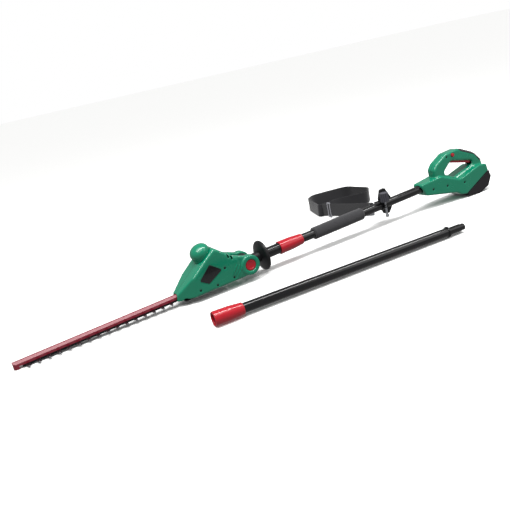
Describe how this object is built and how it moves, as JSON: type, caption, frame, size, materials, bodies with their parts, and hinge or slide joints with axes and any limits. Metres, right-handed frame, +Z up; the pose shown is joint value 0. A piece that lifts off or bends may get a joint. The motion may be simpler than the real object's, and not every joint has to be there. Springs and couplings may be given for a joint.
{
  "type": "hedge trimmer",
  "caption": "Cordless pole hedge trimmer with a tilting head and double-sided blade, a D-handle with battery, a plug-in extension pole and a carrying strap.",
  "frame": {"origin": "centre of the flat foot under the battery, on the floor", "axes": "+X along the machine from blade to handle, +Y away from the side with the lock-off button, +Z up"},
  "size_m": [1.525, 0.7047, 0.1574],
  "materials": {
    "green_shell": "glossy moulded green plastic",
    "red_plastic": "glossy red plastic",
    "black_plastic": "satin black plastic",
    "battery_plastic": "fine-textured dark grey plastic",
    "soft_grip": "soft black moulded grip",
    "pole_paint": "gloss black paint on aluminium tube",
    "bar_paint": "red paint on aluminium",
    "blade_steel": "black coated steel with ground edges",
    "steel": "bright steel",
    "cast_plate": "milled aluminium",
    "brass_contact": "bare brass",
    "foam": "closed-cell foam",
    "webbing": "woven webbing",
    "cell_wrap": "shrink-wrapped steel cell",
    "board": "coated circuit board",
    "grey_plastic": "light grey plastic"
  },
  "bodies": {
    "rear_unit": {"rear_housing_left": "green_shell", "rear_housing_right": "green_shell", "handle_soft_grip": "soft_grip", "rear_screws": "steel", "trigger_pin": "steel", "trigger_spring": "steel", "trigger_switch": "black_plastic", "battery_shoe": "black_plastic", "terminal_block": "black_plastic", "control_board": "board", "main_pole": "pole_paint", "pole_socket": "black_plastic", "pole_contacts": "brass_contact", "pole_cable": "black_plastic", "foam_grip": "foam"},
    "trigger": {"trigger": "red_plastic"},
    "lock_off": {"lock_off_button": "red_plastic"},
    "battery": {"battery_case": "battery_plastic", "battery_lid": "battery_plastic", "battery_cells": "cell_wrap"},
    "battery_latch": {"battery_latch": "red_plastic"},
    "front_collar": {"front_collar": "red_plastic"},
    "neck": {"front_tube": "pole_paint", "front_spigot": "black_plastic", "front_plug": "black_plastic", "guard_disc": "black_plastic", "knuckle": "green_shell"},
    "head": {"head_housing_left": "green_shell", "head_housing_right": "green_shell", "head_screws": "steel", "side_plate": "black_plastic", "motor_cap": "green_shell", "motor": "steel", "gearbox_plate": "cast_plate", "crank_bearing": "steel", "base_cover": "black_plastic", "blade_bar": "bar_paint", "blade_bolts": "steel", "pivot_pin": "steel", "pivot_cap": "green_shell", "lock_spring": "steel"},
    "lock_button": {"lock_button": "red_plastic"},
    "crank": {"drive_gear": "steel", "crank_shaft": "steel"},
    "pinion": {"pinion": "steel"},
    "upper_blade": {"upper_blade": "blade_steel"},
    "lower_blade": {"lower_blade": "blade_steel"},
    "clamp": {"clamp_band": "steel", "clamp_bolt": "steel", "strap_plate": "black_plastic"},
    "clamp_knob": {"clamp_knob": "grey_plastic"},
    "strap": {"strap_webbing": "webbing", "strap_hook": "steel"},
    "strap_slider": {"strap_slider": "grey_plastic"},
    "extension": {"extension_tube": "pole_paint", "extension_socket": "black_plastic", "extension_contacts": "brass_contact", "extension_spigot": "black_plastic", "extension_plug": "black_plastic"},
    "extension_collar": {"extension_collar": "red_plastic"}
  },
  "joints": [
    {"name": "trigger_pull", "type": "hinge", "parent": "rear_unit", "child": "trigger", "pos_m": [0.00906, 0, 0.11588], "axis": [0, 1, 0], "range_deg": [0, 5], "stiffness_Nm_per_rad": 0.3, "springref_deg": -17.19, "deforming": ["trigger_spring"]},
    {"name": "lock_off_press", "type": "slide", "parent": "rear_unit", "child": "lock_off", "axis": [0, 1, 0], "range_m": [0, 0.0025], "stiffness_N_per_m": 200, "springref_m": -0.003},
    {"name": "battery_slide", "type": "slide", "parent": "rear_unit", "child": "battery", "axis": [0.8934, 0, 0.4492], "range_m": [0, 0.115]},
    {"name": "battery_latch_press", "type": "slide", "parent": "battery", "child": "battery_latch", "axis": [-0.8934, 0, -0.4492], "range_m": [0, 0.002], "stiffness_N_per_m": 200, "springref_m": -0.003},
    {"name": "front_collar_turn", "type": "hinge", "parent": "rear_unit", "child": "front_collar", "pos_m": [-0.72918, 0, 0.05167], "axis": [0.9994, 0, 0.0341], "range_deg": [0, 60]},
    {"name": "neck_pull", "type": "slide", "parent": "rear_unit", "child": "neck", "axis": [-0.9994, 0, -0.0341], "range_m": [0, 0.055]},
    {"name": "head_tilt", "type": "hinge", "parent": "neck", "child": "head", "pos_m": [-0.83912, 0, 0.04792], "axis": [0, 1, 0], "range_deg": [-60, 75]},
    {"name": "lock_button_press", "type": "slide", "parent": "head", "child": "lock_button", "axis": [0, 1, 0], "range_m": [0, 0.004], "stiffness_N_per_m": 300, "springref_m": -0.004, "deforming": ["lock_spring"]},
    {"name": "crank_spin", "type": "hinge", "parent": "head", "child": "crank", "pos_m": [-0.97904, 0, 0.04315], "axis": [-0.0341, 0, 0.9994], "continuous": true},
    {"name": "pinion_spin", "type": "hinge", "parent": "head", "child": "pinion", "pos_m": [-0.94306, 0, 0.04438], "axis": [-0.0341, 0, 0.9994], "continuous": true},
    {"name": "upper_blade_stroke", "type": "slide", "parent": "head", "child": "upper_blade", "axis": [0.9994, 0, 0.0341], "range_m": [-0.0075, 0.0075]},
    {"name": "lower_blade_stroke", "type": "slide", "parent": "head", "child": "lower_blade", "axis": [0.9994, 0, 0.0341], "range_m": [-0.0075, 0.0075]},
    {"name": "clamp_slide", "type": "slide", "parent": "rear_unit", "child": "clamp", "axis": [0.9994, 0, 0.0341], "range_m": [-0.06, 0.075]},
    {"name": "clamp_knob_turn", "type": "hinge", "parent": "clamp", "child": "clamp_knob", "pos_m": [-0.3604, -0.0187, 0.06425], "axis": [-0.0341, 0, 0.9994], "range_deg": [0, 360]},
    {"name": "strap_swivel", "type": "hinge", "parent": "clamp", "child": "strap", "pos_m": [-0.3664, 0.0211, 0.06405], "axis": [0, 0, 1], "range_deg": [-12, 12]},
    {"name": "strap_slider_slide", "type": "slide", "parent": "strap", "child": "strap_slider", "axis": [0.0299, -0.9924, 0.1196], "range_m": [0, 0.15]},
    {"name": "extension_lift", "type": "slide", "parent": "rear_unit", "child": "extension", "axis": [0, 0, 1], "range_m": [0, 0.3]},
    {"name": "extension_collar_turn", "type": "hinge", "parent": "extension", "child": "extension_collar", "pos_m": [-1.037, -0.206, 0.0185], "axis": [0.9977, -0.068, -0.0047], "range_deg": [0, 60]}
  ],
  "couplings": [
    {"joint": "pinion_spin", "follows": "crank_spin", "ratio": -3.8},
    {"joint": "lower_blade_stroke", "follows": "upper_blade_stroke", "ratio": -1}
  ]
}
